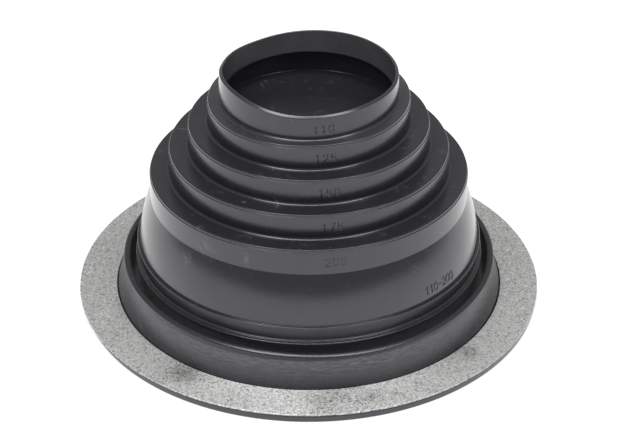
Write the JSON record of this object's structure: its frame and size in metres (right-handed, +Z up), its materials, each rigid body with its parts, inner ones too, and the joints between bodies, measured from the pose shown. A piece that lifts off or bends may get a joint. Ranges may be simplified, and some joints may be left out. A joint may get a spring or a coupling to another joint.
{
  "type": "rubber pipe flashing",
  "caption": "Stepped rubber boot with collars to trim to the pipe, on a round base faced with a soft aluminium ring that dresses to the roof, sealing where a pipe passes through.",
  "frame": {"origin": "centre of the base underside, on the pipe axis", "axes": "+Z up the pipe, away from the roof; X and Y lie in the base, with -Y towards the side that the camera sees"},
  "size_m": [0.2994, 0.2994, 0.1564],
  "materials": {
    "rubber": "satin black moulded rubber",
    "aluminium": "dull mottled soft sheet with a bright cut edge"
  },
  "bodies": {
    "root": {"rubber_boot": "rubber", "aluminium_flange": "aluminium"}
  },
  "joints": []
}
